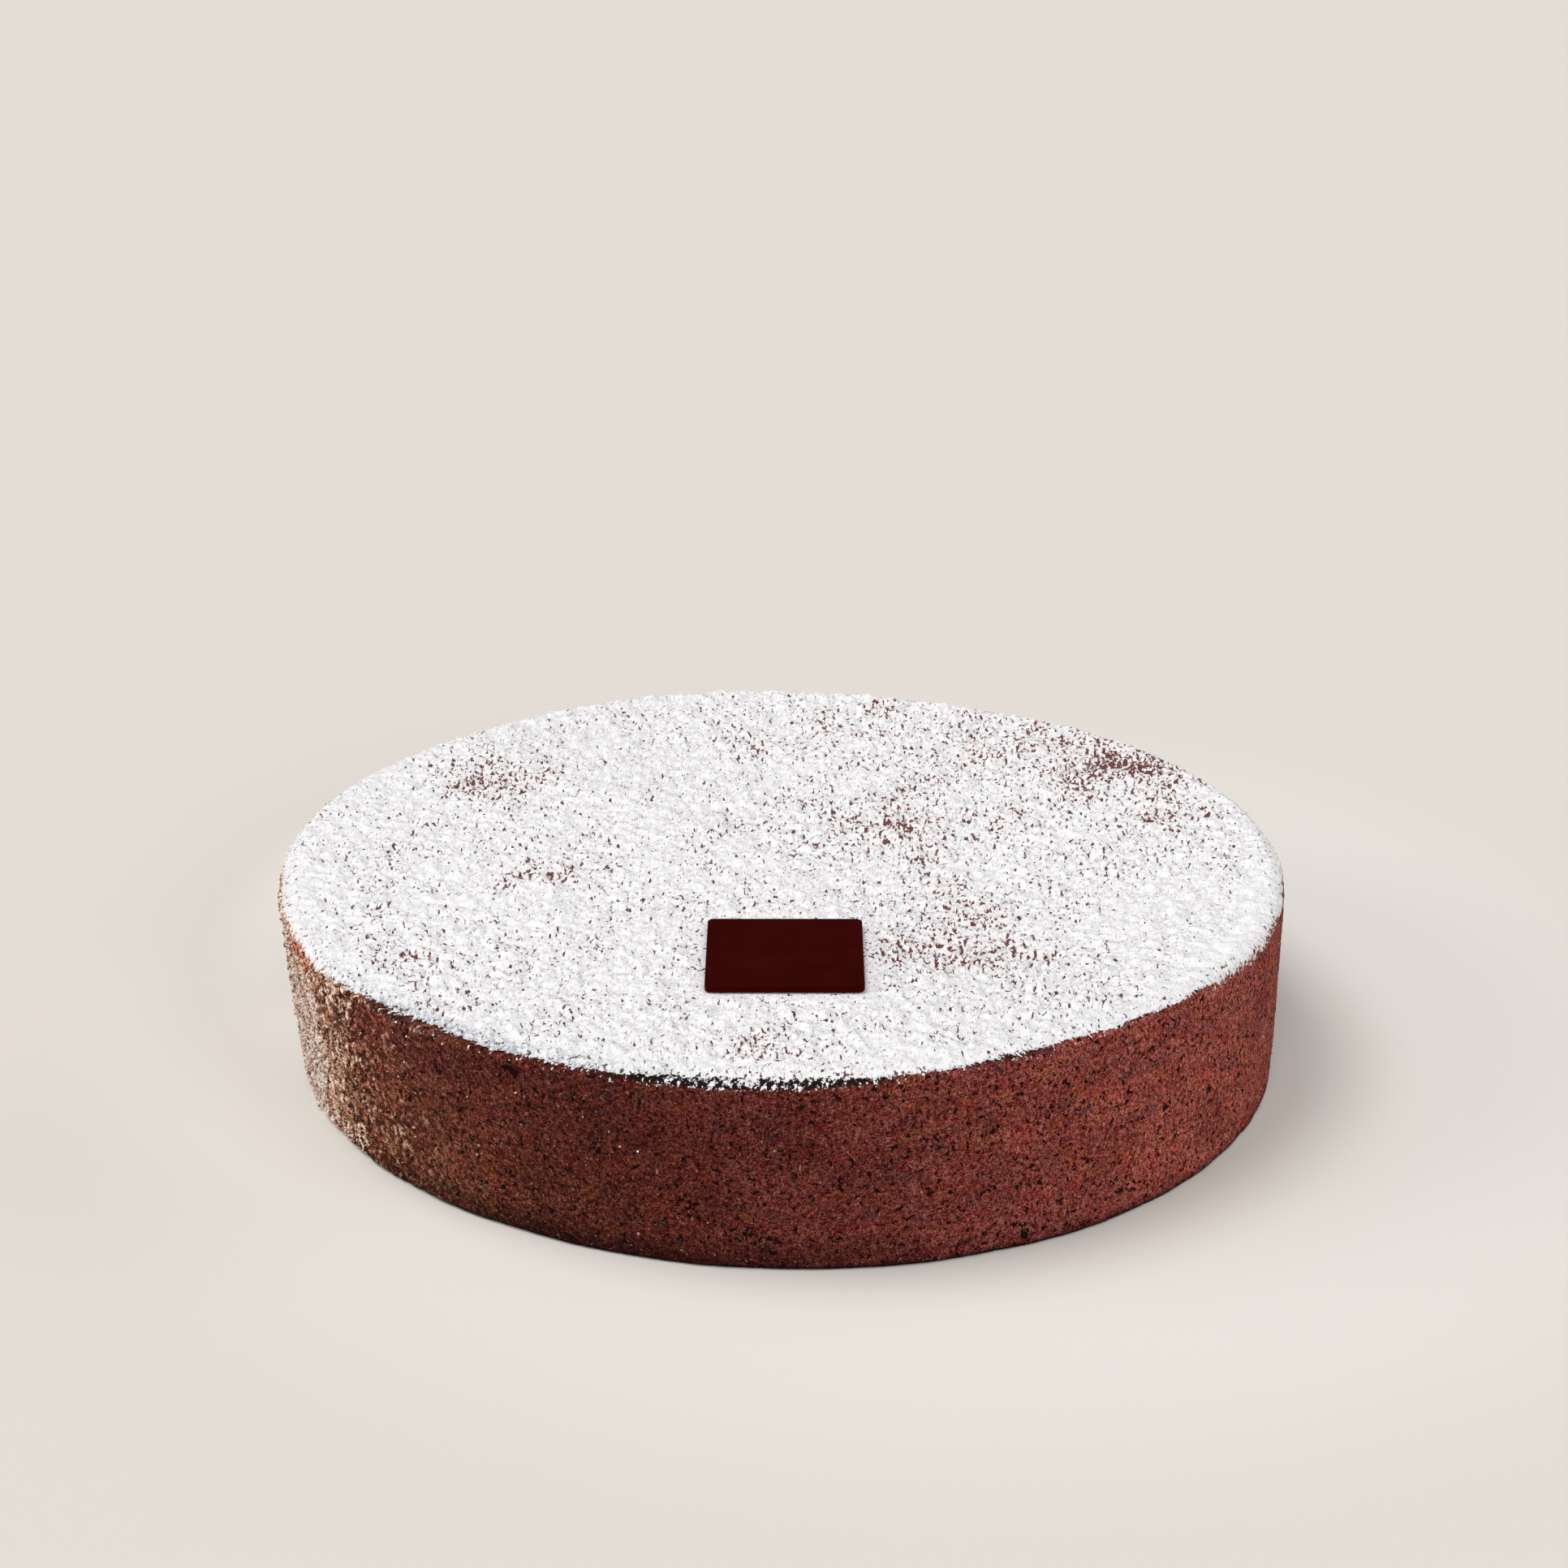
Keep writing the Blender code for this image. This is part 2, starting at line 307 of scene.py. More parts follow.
# Loose grains: least height, how far below the top the crumbs end, spread of stretch and of roughness,
# how rare large ones are, and how much of its cell in the layout each one fills
LEAST_GRAIN_HEIGHT = 0.8 * MM
CRUMB_MARGIN = 0.5 * MM
GRAIN_STRETCH = (0.65, 1.25)
GRAIN_ROUGHNESS = (0.75, 1.2)
LARGE_GRAIN_RARITY = 2.5
CELL_SHARE = 0.4
# How likely they are: sugar on the crust, next to that on the side; crumbs where there is no dust;
# and what is added everywhere, so that enough points can be drawn
CRUST_GRAINS = 0.8
FEWEST_CRUMBS = 0.001
LEAST_LIKELIHOOD = 1e-9
# Colours of the grains, dark and light: sugar on the side, brown crumbs, clumps on the sugar
LOOSE_SUGAR = ((0.78, 0.67, 0.59), (0.93, 0.90, 0.87))
LOOSE_CRUMBS = ((0.16, 0.055, 0.035), (0.66, 0.40, 0.28))
LOOSE_CLUMPS = ((0.84, 0.815, 0.82), (0.925, 0.90, 0.905))

# Colours of the plaque, under its bloom and in it
PLAQUE_CHOCOLATES = ((0.031, 0.0006, 0.0002), (0.040, 0.0014, 0.0006))

# Floor: half its width in metres, how far below the cake it lies, its colours, and its middle painted paler,
# as painted light that lightens the shadows round the cake, with the distances in metres over which that
# fades
FLOOR_REACH = 6.0
FLOOR_DROP = 0.1 * MM
FLOOR_COLOURS = ((0.758, 0.694, 0.638), (0.762, 0.698, 0.642))
LIT_MIDDLE_COLOUR = (0.800, 0.758, 0.704)
MIDDLE_PLACE = (35.0 * MM, 0.0, 0.0)
MIDDLE_FADE = (0.13, 0.21)
# Tints that even out the floor's light: place and how much depth counts, distances of the fade, tint
FLOOR_TINTS = (
    ((-85, 60), 0.55, (26, 56), (1.240, 1.245, 1.260)),
    ((-130, -50), 1.0, (10, 90), (0.945, 0.948, 0.955)),
)
# Even lights: name, direction they come from, strength, width in degrees
SUNS = (
    ("key", (-1.0, 0.05, 2.36), 1.30, 32.0),
    ("side", (-1.0, -0.10, 0.33), 1.00, 40.0),
    ("fill", (0.40, -1.0, 1.02), 1.70, 60.0),
)


def smooth_step(value):
    """0 up to 0, 1 from 1 on, and a smooth change between."""
    value = np.clip(value, 0.0, 1.0)
    return value * value * (3.0 - 2.0 * value)


def wandering_radius(angle, mean, waves):
    """Radius of a nearly round outline in one direction, or in an array of them."""
    stray = sum(high * np.cos(times * angle - math.radians(crest)) for times, high, crest in waves)
    return mean + stray


def degrees_apart(angle, direction):
    """How far angles, in radians, are from a direction in degrees."""
    return np.abs((np.degrees(angle) - direction + 180.0) % 360.0 - 180.0)


def near_direction(angle, direction, half_width):
    """1 in a direction, falling smoothly to 0 at half_width degrees from it."""
    return smooth_step(1.0 - degrees_apart(angle, direction) / half_width)


def from_bands(angle, bands):
    """What bands add up to in each direction; a band has a direction, a half width and an amount."""
    return sum(amount * near_direction(angle, middle, width) for middle, width, amount in bands)


def lumps(points, layers, seed):
    """Smooth unevenness at each point: layers of noise, each with its own lump size and height."""
    offset = Vector((seed, 2.0 * seed, 3.0 * seed))
    return np.array(
        [sum(high * noise.noise(Vector(p) / size + offset) for size, high in layers) for p in points]
    )


def around(angle):
    """Points on a circle of radius 1."""
    return np.stack([np.cos(angle), np.sin(angle)], axis=-1)


def with_height(flat, height):
    """Flat points with a height, or with one each."""
    return np.column_stack([flat, np.broadcast_to(height, len(flat))])


def piece_from(name, points, faces, material, attributes=()):
    """A smooth-shaded object from arrays, with values stored at its points."""
    mesh = bpy.data.meshes.new(name)
    mesh.from_pydata(points.tolist(), [], faces)
    for label, values in attributes:
        kind, field = ("FLOAT", "value") if values.ndim == 1 else ("FLOAT_VECTOR", "vector")
        store = mesh.attributes.new(label, kind, "POINT")
        store.data.foreach_set(field, values.astype(np.float32).ravel())
    mesh.materials.append(material)
    mesh.shade_smooth()
    mesh.validate()
    item = bpy.data.objects.new(name, mesh)
    bpy.context.scene.collection.objects.link(item)
    return item


class Nodes:
    """Adds nodes to a material's or a modifier's tree in few words."""

    def __init__(self, tree):
        self.tree = tree

    def add(self, kind, inputs=(), **settings):
        node = self.tree.nodes.new(kind)
        for name, value in settings.items():
            setattr(node, name, value)
        for key, value in dict(inputs).items():
            if isinstance(value, bpy.types.NodeSocket):
                self.tree.links.new(value, node.inputs[key])
            else:
                node.inputs[key].default_value = value
        return node

    def math(self, operation, first, second=0.0):
        return self.add("ShaderNodeMath", {0: first, 1: second}, operation=operation).outputs[0]

    def plus(self, first, second):
        return self.math("ADD", first, second)

    def minus(self, first, second):
        return self.math("SUBTRACT", first, second)

    def times(self, first, second):
        return self.math("MULTIPLY", first, second)

    def vector(self, operation, first, second):
        return self.add("ShaderNodeVectorMath", {0: first, 1: second}, operation=operation).outputs[0]

    def shifted(self, place, offset):
        return self.vector("ADD", place, offset)

    def stretched(self, place, factors):
        return self.vector("MULTIPLY", place, factors)

    def length(self, vector):
        return self.add("ShaderNodeVectorMath", {0: vector}, operation="LENGTH").outputs["Value"]

    def noise(self, vector, size, detail=2.0, roughness=0.5, flat=False):
        """Noise whose features are about size across; flat noise ignores the height."""
        inputs = {"Vector": vector, "Scale": 1.0 / size, "Detail": detail, "Roughness": roughness}
        dimensions = "2D" if flat else "3D"
        return self.add("ShaderNodeTexNoise", inputs, noise_dimensions=dimensions).outputs[0]

    def between(self, value, low, high, to_low=0.0, to_high=1.0):
        """Smooth change from to_low to to_high as the value goes from low to high."""
        inputs = {"Value": value, "From Min": low, "From Max": high, "To Min": to_low, "To Max": to_high}
        node = self.add("ShaderNodeMapRange", inputs, interpolation_type="SMOOTHSTEP")
        return node.outputs["Result"]

    def mix(self, share, first, second):
        """Colour mix; a colour is a socket or a tuple of three."""
        node = self.add("ShaderNodeMix", data_type="RGBA", clamp_factor=True)
        for socket, value in ((node.inputs[0], share), (node.inputs[6], first), (node.inputs[7], second)):
            if isinstance(value, bpy.types.NodeSocket):
                self.tree.links.new(value, socket)
            elif isinstance(value, tuple):
                socket.default_value = (*value, 1.0)
            else:
                socket.default_value = value
        return node.outputs[2]

    def tinted(self, share, tone, tint):
        """The tone, multiplied by a tint as far as the share says."""
        return self.mix(share, tone, self.vector("MULTIPLY", tone, tint))

    def attribute(self, name, vector=False):
        """A value stored at the points, read in a material."""
        node = self.add("ShaderNodeAttribute", attribute_name=name)
        return node.outputs["Vector" if vector else "Fac"]

    def named(self, name, vector=False):
        """The same stored value, read in a modifier's tree."""
        kind = "FLOAT_VECTOR" if vector else "FLOAT"
        node = self.add("GeometryNodeInputNamedAttribute", {"Name": name}, data_type=kind)
        return node.outputs["Attribute"]

    def object_place(self):
        return self.add("ShaderNodeTexCoord").outputs["Object"]


def new_material(name, roughness, specular=0.5):
    """A material with a Principled shader; returns it, its nodes and its shader."""
    material = bpy.data.materials.new(name)
    material.use_nodes = True
    shader = material.node_tree.nodes["Principled BSDF"]
    shader.inputs["Roughness"].default_value = roughness
    shader.inputs["Specular IOR Level"].default_value = specular
    return material, Nodes(material.node_tree), shader


def connect(nodes, output, shader, name):
    nodes.tree.links.new(output, shader.inputs[name])


def bump(nodes, shader, height, distance, strength=1.0):
    """Fine unevenness in the shading alone."""
    node = nodes.add("ShaderNodeBump", {"Height": height, "Distance": distance, "Strength": strength})
    connect(nodes, node.outputs["Normal"], shader, "Normal")


def fine_powder(nodes, place):
    """The finest unevenness of crumb and sugar."""
    return nodes.noise(place, POWDER_SIZE, detail=3.0, roughness=0.7)


def scattered_sugar(nodes, amount):
    """Where sugar covers the crust round the layer's edge, given the stored amount's name: 1 if it does."""
    veil = nodes.noise(nodes.attribute("edgewise", vector=True), VEIL_SIZE, detail=3.0, roughness=0.65)
    covered = nodes.plus(veil, nodes.times(nodes.attribute(amount), VEIL_STRENGTH))
    return nodes.between(covered, *VEIL_LEVELS)


def move_points(piece, offset_from):
    """Moves a piece's points by an offset that offset_from builds out of nodes, and applies it."""
    tree = bpy.data.node_groups.new(piece.name + "_relief", "GeometryNodeTree")
    for way in ("INPUT", "OUTPUT"):
        tree.interface.new_socket("Geometry", in_out=way, socket_type="NodeSocketGeometry")
    nodes = Nodes(tree)
    start = nodes.add("NodeGroupInput")
    mover = nodes.add("GeometryNodeSetPosition", {"Geometry": start.outputs["Geometry"]})
    tree.links.new(offset_from(nodes), mover.inputs["Offset"])
    nodes.add("NodeGroupOutput", {"Geometry": mover.outputs["Geometry"]})
    modifier = piece.modifiers.new("relief", "NODES")
    modifier.node_group = tree
    with bpy.context.temp_override(object=piece, active_object=piece, selected_objects=[piece]):
        bpy.ops.object.modifier_apply(modifier=modifier.name)


# Camera


def add_camera():
    """Camera at the photograph's angle, worked out from the cake's outline in it."""
    data = bpy.data.cameras.new("camera")
    data.sensor_width = 36.0
    data.lens = 83.89
    data.clip_start = 0.01
    data.clip_end = 20.0
    camera = bpy.data.objects.new("camera", data)
    camera.location = (1.65 * MM, -739.96 * MM, 352.22 * MM)
    looking_down = math.radians(21.514)
    turned_left = math.radians(0.093)
    camera.rotation_euler = (math.radians(90.0) - looking_down, 0.0, turned_left)
    bpy.context.scene.collection.objects.link(camera)
    bpy.context.scene.camera = camera


# Shape of the cake


def crust_drop(inset):
    """How far the rounded shoulder has fallen below the crust's top, at an inset from the rim."""
    into_round = np.clip(SHOULDER_RADIUS - inset, 0.0, SHOULDER_RADIUS)
    return SHOULDER_RADIUS - np.sqrt(SHOULDER_RADIUS**2 - into_round**2)


def side_profile():
    """Rows of the side from the foot up and in over the crust: height, inset, lean of the surface upwards."""
    quarter = math.radians(90.0)
    rows = []
    for turn in np.linspace(0.0, quarter, FOOT_TURNS):
        height = FOOT_RADIUS * (1.0 - math.cos(turn))
        rows.append((height, FOOT_RADIUS * (1.0 - math.sin(turn)), turn - quarter))
    wall_top = CRUST_TOP - SHOULDER_RADIUS
    wall_rows = round((wall_top - FOOT_RADIUS) / SIDE_ROW)
    for height in np.linspace(FOOT_RADIUS, wall_top, wall_rows + 1)[1:-1]:
        rows.append((height, 0.0, 0.0))
    for turn in np.linspace(0.0, quarter, SHOULDER_TURNS):
        height = wall_top + SHOULDER_RADIUS * math.sin(turn)
        rows.append((height, SHOULDER_RADIUS * (1.0 - math.cos(turn)), turn))
    for step in range(1, CRUST_ROWS + 1):
        rows.append((CRUST_TOP, SHOULDER_RADIUS + step * CRUST_ROW, quarter))
    return rows


def side_row(angle, height, inset):
    """Points of one row of the side, with the solid's own unevenness."""
    share = height / CRUST_TOP
    centre = BASE_CENTRE + (RIM_CENTRE - BASE_CENTRE) * share
    base = wandering_radius(angle, BASE_RADIUS, BASE_WAVES)
    rim = wandering_radius(angle, RIM_RADIUS, RIM_WAVES)
    radius = base + (rim - base) * share - inset
    smooth = with_height(centre + around(angle) * radius[:, None], height)
    radius += lumps(smooth, CRUMB_LUMPS, CRUMB_SEED)
    return with_height(centre + around(angle) * radius[:, None], height)


def side_angles():
    """Directions of the side's columns, closest together where the crumb is roughest."""
    tenths = 3600
    turn = np.linspace(0.0, 2.0 * np.pi, tenths + 1)
    density = 1.0 + EXTRA_COLUMNS * near_direction(turn, *ROUGH_SIDE)
    steps = np.concatenate([[0.0], np.cumsum((density[1:] + density[:-1]) / 2)])
    return np.interp(np.arange(SIDE_COLUMNS) / SIDE_COLUMNS * steps[-1], steps, turn)


def band_faces(first, second, count):
    """Quads between two closed rows of points, given the index of each row's first point."""
    after = np.roll(np.arange(count), -1)
    here = np.arange(count)
    return np.column_stack([first + here, first + after, second + after, second + here]).tolist()


def drawn_to_rim(points):
    """Points with their distance from the rim halved, so that noise read there is stretched inwards."""
    x, y = (points[:, :2] - RIM_CENTRE).T
    halfway = 0.5 * (np.hypot(x, y) + RIM_RADIUS)
    return with_height(around(np.arctan2(y, x)) * halfway[:, None], points[:, 2])


# Amounts stored on the cake


def darkness(angle):
    """How dark the crust is baked in each direction, from 0 to 1."""
    return np.minimum(PALE_CRUST + from_bands(angle, DARK_BANDS), 1.0)


def veil_at_edge(angle):
    """How much the scattered sugar covers right at the layer's edge."""
    return VEIL_AT_EDGE + from_bands(angle, FULL_SHOULDERS)


def side_dust(angle, left, low, rust):
    """Dust on the side: most on the left and low down, least on the rust-red spot."""
    dust = LEAST_DUST + (SIDE_DUST + LOW_DUST * low) * left**DUST_FALLOFF
    dust += EDGE_DUST * sum(near_direction(angle, *band) for band in DUSTY_EDGES)
    dust += FOOT_DUST * low * near_direction(angle, *DUSTY_FOOT)
    return np.clip(dust * (1.0 - RUST_CLEARS_DUST * rust), 0.0, MOST_DUST)


def rim_dust(angle, height, from_sugar, left):
    """Sugar scattered on the crust and the shoulder, given the distance from the layer's edge."""
    veil = veil_at_edge(angle) * np.clip(1.0 - from_sugar / VEIL_REACH, 0.0, 1.0)
    everywhere, on_dark, on_left = CRUST_POWDER
    near_top = smooth_step((height - (CRUST_TOP - CRUST_BAND)) / (BORDER_SHARE * CRUST_BAND))
    powder = np.maximum(veil, (everywhere + on_dark * darkness(angle) + on_left * left) * near_top)
    fallen = POWDER_AMOUNT * near_direction(angle, *POWDERED_SHOULDER)
    return np.maximum(powder, fallen * smooth_step(1.0 - (CRUST_TOP - height) / POWDER_FALL))


def dark_crust(angle, height, from_sugar):
    """Baked crust on the shoulder, and a line beside the sugar that is partly dark crust and partly painted
    shade; the lighter orange side lacks that line.
    """
    border = BORDER_SHARE * CRUST_FALL
    crust = darkness(angle) * smooth_step((height - (CRUST_TOP - CRUST_FALL)) / border)
    line_width, line_strength = CRUST_SHADE_LINE
    line = line_strength * np.clip(1.0 - from_sugar / line_width, 0.0, 1.0)
    return np.maximum(crust, line * (1.0 - near_direction(angle, *LIT_ORANGE_SIDE)))


def painted_lightness(angle):
    """How pale the crumb is painted in each direction, as painted light: palest towards the front right,
    paler at the front left, darker at the front.
    """
    pale = LIT_STRENGTH * (0.5 + 0.5 * np.cos(angle - math.radians(LIT_DIRECTION))) ** 3
    return np.maximum(pale + from_bands(angle, (PAINTED_LIGHT_BAND, SHADED_BAND)), 0.0)


def painted_foot_shade(angle, height):
    """Darker crumb near the foot, partly painted shade, up to 1; from there up to 2 it is the painted contact
    shadow on which the cake stands.
    """
    dark = near_direction(angle, *FOOT_SHADE) * smooth_step(1.0 - height / FOOT_SHADE_HEIGHT)
    dark = np.maximum(dark, LOW_SHADE_STRENGTH * smooth_step(1.0 - height / LOW_SHADE_HEIGHT))
    darkest_spot = near_direction(angle, *DARKEST_FOOT_SPOT) * smooth_step(1.0 - height / DARKEST_FOOT_HEIGHT)
    dark = np.maximum(dark, DARKEST_FOOT_STRENGTH * darkest_spot)
    return np.maximum(dark, CONTACT_SHADOW_STRENGTH * np.clip(1.0 - height / CONTACT_SHADOW_HEIGHT, 0.0, 1.0))


def surface_values(angle, height, inset):
    """Amounts that the crumb's material and the loose grains read, by name."""
    bends = lumps(with_height(around(angle) * RIM_RADIUS, height), DUST_BENDS, DUST_SEED)
    left = near_direction(angle + np.radians(bends), *DUSTY_SIDE)
    low = 1.0 - smooth_step((height / CRUST_TOP - LOW_END) / LOW_FADE)
    rust = near_direction(angle, *RUST_SPOT) * smooth_step(1.0 - (CRUST_TOP - height) / RUST_DEPTH)
    from_sugar = np.maximum(sugar_edge_inset(angle) - inset, 0.0) + CRUST_TOP - height
    brown, brown_low = BROWN_STRENGTH
    return {
        "dust": side_dust(angle, left, low, rust),
        "lit_orange": near_direction(angle, *LIT_ORANGE_SIDE) * (1.0 - RUST_CLEARS_LIT_ORANGE * rust),
        "rust": rust,
        "rim_dust": rim_dust(angle, height, from_sugar, left),
        "crust": dark_crust(angle, height, from_sugar),
        "pale": painted_lightness(angle),
        "brown": near_direction(angle, *BROWN_BAND) * (brown + brown_low * low),
        "foot": painted_foot_shade(angle, height),
    }


def make_cake(material):
    """The cake with a fine crumb relief on its side and bare crust round the sugar."""
    angle = side_angles()
    profile = side_profile()
    rows = [side_row(angle, height, inset) for height, inset, _ in profile]
    # One more row closes in the flat base
    middle = rows[0][:, :2].mean(axis=0)
    rows.insert(0, with_height(middle + (rows[0][:, :2] - middle) * BASE_SHARE, 0.0))
    # The rows that only close in the flat base and the hidden top stay put
    still = math.radians(-90.0)
    leans = np.array([still] + [lean for _, _, lean in profile[:-1]] + [still])
    insets = np.array([0.0] + [inset for _, inset, _ in profile])
    faces = []
    for step in range(len(rows) - 1):
        faces += band_faces(step * SIDE_COLUMNS, (step + 1) * SIDE_COLUMNS, SIDE_COLUMNS)
    last = (len(rows) - 1) * SIDE_COLUMNS
    faces.append([last + i for i in range(SIDE_COLUMNS)])
    faces.append(list(reversed(range(SIDE_COLUMNS))))
    points = np.concatenate(rows)
    lean = np.repeat(leans, SIDE_COLUMNS)
    everywhere = np.tile(angle, len(rows))
    # The crust on top is smoother than the side
    freedom = 1.0 - CRUST_CALM * smooth_step(lean / math.radians(90.0))
    outward = with_height(around(everywhere) * np.cos(lean)[:, None], np.maximum(np.sin(lean), 0.0))
    stored = [("rest", points), ("outward", outward * freedom[:, None]), ("edgewise", drawn_to_rim(points))]
    stored += surface_values(everywhere, points[:, 2], np.repeat(insets, SIDE_COLUMNS)).items()
    cake = piece_from("cake_crumb", points, faces, material, stored)
    move_points(cake, crumb_offset)
    return cake


# Relief and colour of the crumb


def crumb_pores(nodes, place):
    """Open pores of the crumb: many small ones and a few larger, in clusters; 1 inside them."""
    size, start, full = SMALL_PORES
    small = nodes.between(nodes.noise(place, size, roughness=0.6), start, full)
    size, start, full = LARGE_PORES
    wide = nodes.noise(nodes.shifted(place, (0.05, 0.13, 0.02)), size, roughness=0.55)
    size, strength = PORE_CLUSTERS
    cluster = nodes.times(nodes.noise(place, size, detail=1.0), strength)
    large = nodes.between(nodes.plus(wide, cluster), start, full)
    return nodes.math("MAXIMUM", small, large)


def crumb_clods(nodes, place):
    """The crumb's clods, taller than wide: 0.5 on average, more on top of them."""
    return nodes.noise(nodes.stretched(place, CLOD_STRETCH), CLOD_SIZE, detail=3.0, roughness=0.65)


def crumb_offset(nodes):
    """Outward offset of the side's points: crumbs stand out, pores sink in, rougher where dusty."""
    place = nodes.named("rest", vector=True)
    rough = nodes.between(nodes.named("dust"), *ROUGHNESS_BY_DUST)
    raised = nodes.times(nodes.minus(crumb_clods(nodes, place), 0.5), CLOD_HEIGHT)
    sunk = nodes.times(crumb_pores(nodes, place), -PORE_DEPTH)
    height = nodes.times(nodes.plus(raised, sunk), rough)
    outward = nodes.named("outward", vector=True)
    return nodes.add("ShaderNodeVectorMath", {0: outward, "Scale": height}, operation="SCALE").outputs[0]


def hue_patches(nodes, tone, place):
    """Patches of a few millimetres in which the tone differs."""
    for offset, size, level, tint in HUE_PATCHES:
        found = nodes.noise(nodes.shifted(place, offset), size, roughness=0.55)
        tone = nodes.tinted(nodes.between(found, level, level + HUE_BORDER), tone, tint)
    return tone


def grainy(nodes, tone, sand, coarse):
    """The tone with its sandy grain, stronger in the brown band."""
    grains = nodes.mix(nodes.between(coarse, 0.32, 0.68), *COARSE_TINTS)
    sands = nodes.mix(nodes.between(sand, 0.35, 0.65), *SAND_TINTS)
    tone = nodes.vector("MULTIPLY", nodes.vector("MULTIPLY", tone, grains), sands)
    grit = nodes.mix(nodes.between(coarse, 0.38, 0.62), *GRIT_TINTS)
    return nodes.tinted(nodes.attribute("brown"), tone, grit)


def crumb_colour(nodes, place, sand):
    """Red-brown crumb, with painted light and shade round the side and at the foot: mottles flattened by the
    baking, sandy grain, dark pores with painted shade in them, a few pale flecks.
    """
    layered = nodes.stretched(place, (1.0, 1.0, 1.6))
    # Painted light and shade: lit and shaded crumb, mixed by how pale each direction is painted
    tone = nodes.mix(nodes.attribute("pale"), SHADED_CRUMB, LIT_CRUMB)
    tone = nodes.tinted(nodes.attribute("brown"), tone, BROWN_TINT)
    # Lighter orange on the far left side, partly painted light
    tone = nodes.mix(nodes.attribute("lit_orange"), tone, LIT_ORANGE_CRUMB)
    tone = nodes.mix(nodes.attribute("rust"), tone, RUST_RED)
    mottle = nodes.noise(layered, size=17.0 * MM, detail=3.0, roughness=0.6)
    mottled = nodes.mix(nodes.between(mottle, 0.34, 0.66), *MOTTLE_TINTS)
    tone = hue_patches(nodes, nodes.vector("MULTIPLY", tone, mottled), layered)
    # Darker near the foot, partly painted shade, and the near-black painted contact shadow at the very bottom
    foot = nodes.attribute("foot")
    tone = nodes.tinted(foot, tone, FOOT_SHADE_TINT)
    tone = nodes.mix(nodes.between(foot, 1.0, 1.4), tone, CONTACT_SHADOW)
    tone = grainy(nodes, tone, sand, nodes.noise(place, size=0.95 * MM, roughness=0.6))
    fleck = nodes.noise(nodes.shifted(place, (0.11, 0.07, 0.23)), size=0.62 * MM, detail=1.0)
    tone = nodes.mix(nodes.between(fleck, 0.69, 0.75, 0.0, 0.75), tone, FLECK)
    # The pores are painted near black, as painted shade inside them
    pore_shade = nodes.mix(nodes.attribute("lit_orange"), PORE_SHADE, LIT_ORANGE_PORE_SHADE)
    return nodes.mix(nodes.times(crumb_pores(nodes, place), 0.97), tone, pore_shade)


def rough_crumb(nodes, crumb, clods, dust, clumped):
    """The rough crumb of the dusty side: a painted highlight on its clods, painted shade, nearly black, in
    the gaps between them.
    """
    tops = nodes.times(nodes.between(clods, 0.51, 0.62), clumped)
    crumb = nodes.tinted(tops, crumb, CLOD_HIGHLIGHT_TINT)
    bare = nodes.between(dust, 0.45, 0.85, 0.92, 0.82)
    gaps = nodes.times(nodes.between(clods, 0.495, 0.43), nodes.times(clumped, bare))
    return nodes.mix(gaps, crumb, CLOD_GAP_SHADE)


def crust_and_shade(nodes, crumb, place):
    """Near-black crust, and the painted shade beside the sugar, with a wandering border."""
    wander = nodes.noise(place, size=3.2 * MM, detail=3.0, roughness=0.6)
    crust = nodes.plus(nodes.attribute("crust"), nodes.times(wander, 0.9))
    return nodes.mix(nodes.between(crust, 0.78, 1.12, 0.0, 0.95), crumb, BAKED_CRUST_AND_SHADE)


def dusted_crumb(nodes, crumb, wall, sand, dust):
    """Sugar dust on the side: a tan film and cream grains, where the dust's unevenness, wall, is high."""
    film = nodes.between(wall, 0.585, 0.645, 0.0, 0.85)
    film = nodes.times(film, nodes.between(dust, 0.06, 0.22))
    dusted = nodes.mix(film, crumb, TAN_DUST)
    cream = nodes.mix(nodes.between(sand, 0.38, 0.62), *CREAM_DUST)
    grains = nodes.times(nodes.between(wall, 0.640, 0.680), nodes.between(dust, 0.08, 0.20))
    return nodes.mix(grains, dusted, cream)


def crumb_material():
    """Fine dry chocolate crumb with a near-black crust in places and sugar dust on it."""
    material, nodes, shader = new_material("chocolate_crumb", roughness=0.95, specular=0.05)
    place = nodes.attribute("rest", vector=True)
    dust = nodes.attribute("dust")
    sand = nodes.noise(place, SAND_SIZE, roughness=0.8)
    powder = fine_powder(nodes, place)
    clods = crumb_clods(nodes, place)
    clumped = nodes.between(dust, 0.06, 0.20)
    crumb = rough_crumb(nodes, crumb_colour(nodes, place, sand), clods, dust, clumped)
    crumb = crust_and_shade(nodes, crumb, place)
    # The dust gathers on clods, in patches of a few millimetres, and more where there is more of it
    by_powder, by_clods, by_patch, by_dust = UNEVEN_BY
    uneven = nodes.plus(nodes.times(powder, by_powder), nodes.times(clods, by_clods))
    patch = nodes.noise(place, size=5.0 * MM, roughness=0.6)
    drift = nodes.times(nodes.minus(patch, 0.5), by_patch)
    wall = nodes.plus(uneven, nodes.plus(nodes.times(dust, by_dust), drift))
    dusted = dusted_crumb(nodes, crumb, wall, sand, dust)
    # The low parts between clods are painted dark: bare crumb and painted shade
    holes = nodes.times(nodes.between(clods, 0.485, 0.430, 0.0, 0.94), clumped)
    dusted = nodes.mix(holes, dusted, HOLE_CRUMB_AND_SHADE)
    coloured = nodes.mix(scattered_sugar(nodes, "rim_dust"), dusted, RIM_POWDER)
    connect(nodes, coloured, shader, "Base Color")
    bump(nodes, shader, nodes.plus(sand, powder), distance=0.16 * MM)
    return material


# Icing sugar


